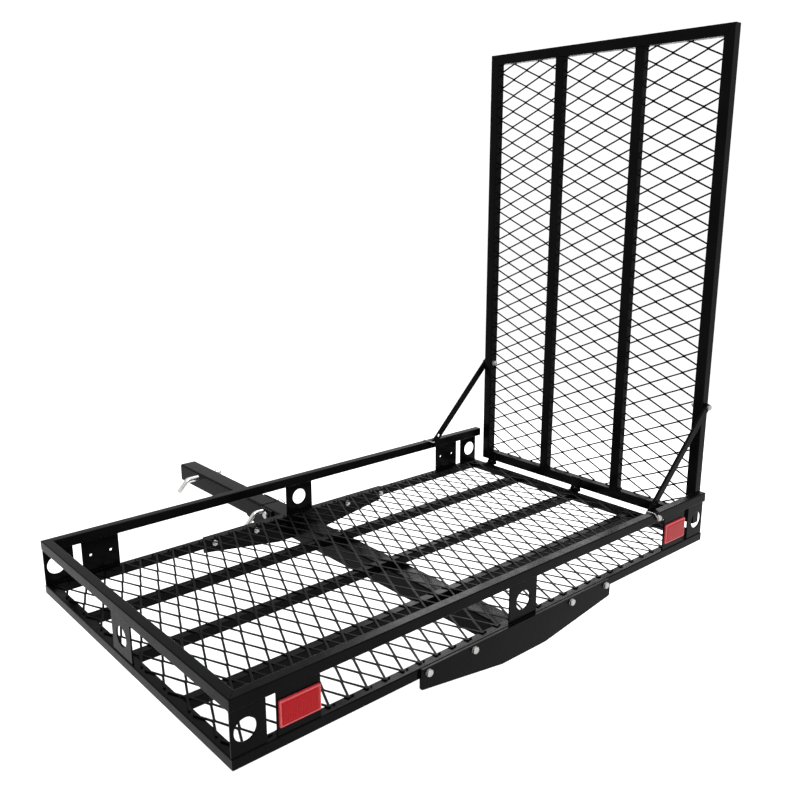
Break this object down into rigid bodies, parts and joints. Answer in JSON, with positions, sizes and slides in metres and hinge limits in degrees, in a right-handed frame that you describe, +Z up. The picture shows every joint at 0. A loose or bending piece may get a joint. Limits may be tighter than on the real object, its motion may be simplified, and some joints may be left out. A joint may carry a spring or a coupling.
{
  "type": "hitch cargo carrier",
  "caption": "Hitch cargo carrier: steel platform with mesh deck, low side rails, a fold-down loading ramp on hinges with braces, and a fold-up shank.",
  "frame": {"origin": "centre of the shank's top face, above the hitch pin's axis", "axes": "+Z up; +Y along the shank towards the vehicle; +X along the platform's length towards the ramp"},
  "size_m": [1.302, 1.3481, 1.22],
  "materials": {
    "black_powder_coat": "semi-gloss black powder coat on steel tube and plate",
    "black_mesh": "black powder coated expanded steel mesh",
    "zinc_hardware": "bright zinc plated steel",
    "bright_pin": "bright nickel-zinc plated steel pin",
    "red_reflector": "clear red reflector plastic"
  },
  "bodies": {
    "shank": {"hitch_shank": "black_powder_coat", "left_pivot_cheek": "black_powder_coat", "right_pivot_cheek": "black_powder_coat", "stop_bolt": "zinc_hardware"},
    "platform": {"centre_beam": "black_powder_coat", "deck_bar_centre": "black_powder_coat", "deck_bar_front": "black_powder_coat", "deck_bar_rear": "black_powder_coat", "deck_mesh": "black_mesh", "front_bottom_rail": "black_powder_coat", "front_gusset": "black_powder_coat", "front_gusset_bolt_1": "zinc_hardware", "front_gusset_bolt_2": "zinc_hardware", "front_gusset_bolt_3": "zinc_hardware", "front_gusset_bolt_4": "zinc_hardware", "front_left_corner_post": "black_powder_coat", "front_left_reflector_plate": "black_powder_coat", "front_middle_post": "black_powder_coat", "front_right_corner_post": "black_powder_coat", "front_right_reflector_plate": "black_powder_coat", "front_top_rail": "black_powder_coat", "hinge_1_deck_leaf": "black_powder_coat", "hinge_2_deck_leaf": "black_powder_coat", "hinge_3_deck_leaf": "black_powder_coat", "left_bottom_rail": "black_powder_coat", "left_middle_post": "black_powder_coat", "left_reflector": "red_reflector", "left_top_rail": "black_powder_coat", "rear_bottom_rail": "black_powder_coat", "rear_gusset": "black_powder_coat", "rear_gusset_bolt_1": "zinc_hardware", "rear_gusset_bolt_2": "zinc_hardware", "rear_gusset_bolt_3": "zinc_hardware", "rear_gusset_bolt_4": "zinc_hardware", "rear_left_corner_post": "black_powder_coat", "rear_left_reflector_plate": "black_powder_coat", "rear_middle_post": "black_powder_coat", "rear_right_corner_post": "black_powder_coat", "rear_right_reflector_plate": "black_powder_coat", "rear_top_rail": "black_powder_coat", "right_bottom_rail": "black_powder_coat", "right_reflector": "red_reflector"},
    "ramp": {"front_brace_bolt": "zinc_hardware", "hinge_1_ramp_leaf": "black_powder_coat", "hinge_2_ramp_leaf": "black_powder_coat", "hinge_3_ramp_leaf": "black_powder_coat", "ramp_bar_front": "black_powder_coat", "ramp_bar_rear": "black_powder_coat", "ramp_bottom_tube": "black_powder_coat", "ramp_front_side": "black_powder_coat", "ramp_mesh": "black_mesh", "ramp_rear_side": "black_powder_coat", "ramp_top_tube": "black_powder_coat", "rear_brace_bolt": "zinc_hardware"},
    "hitch_pin": {"hitch_pin": "bright_pin"},
    "fold_pin": {"fold_pin": "bright_pin"},
    "front_brace": {"front_brace": "black_powder_coat"},
    "rear_brace": {"rear_brace": "black_powder_coat"},
    "front_rail_pin": {"front_rail_pin": "zinc_hardware"},
    "rear_rail_pin": {"rear_rail_pin": "zinc_hardware"}
  },
  "joints": [
    {"name": "platform_fold", "type": "hinge", "parent": "shank", "child": "platform", "pos_m": [0, -0.359, -0.0102], "axis": [-1, 0, 0], "range_deg": [0, 90]},
    {"name": "ramp_hinge", "type": "hinge", "parent": "platform", "child": "ramp", "pos_m": [0.6395, -0.853, 0.0248], "axis": [0, 1, 0], "range_deg": [0, 110]},
    {"name": "front_brace_fold", "type": "hinge", "parent": "ramp", "child": "front_brace", "pos_m": [0.6545, -1.204, 0.3183], "axis": [0, 1, 0], "range_deg": [-33, 0]},
    {"name": "rear_brace_fold", "type": "hinge", "parent": "ramp", "child": "rear_brace", "pos_m": [0.6545, -0.502, 0.3183], "axis": [0, 1, 0], "range_deg": [-33, 0]},
    {"name": "hitch_pin_pull", "type": "slide", "parent": "shank", "child": "hitch_pin", "axis": [-1, 0, 0], "range_m": [0, 0.1]},
    {"name": "fold_pin_pull", "type": "slide", "parent": "shank", "child": "fold_pin", "axis": [-1, 0, 0], "range_m": [0, 0.1]},
    {"name": "front_rail_pin_pull", "type": "slide", "parent": "platform", "child": "front_rail_pin", "axis": [0, -1, 0], "range_m": [0, 0.03]},
    {"name": "rear_rail_pin_pull", "type": "slide", "parent": "platform", "child": "rear_rail_pin", "axis": [0, 1, 0], "range_m": [0, 0.03]}
  ],
  "couplings": [
    {"joint": "front_brace_fold", "follows": "ramp_hinge", "ratio": -0.3},
    {"joint": "rear_brace_fold", "follows": "ramp_hinge", "ratio": -0.3}
  ]
}
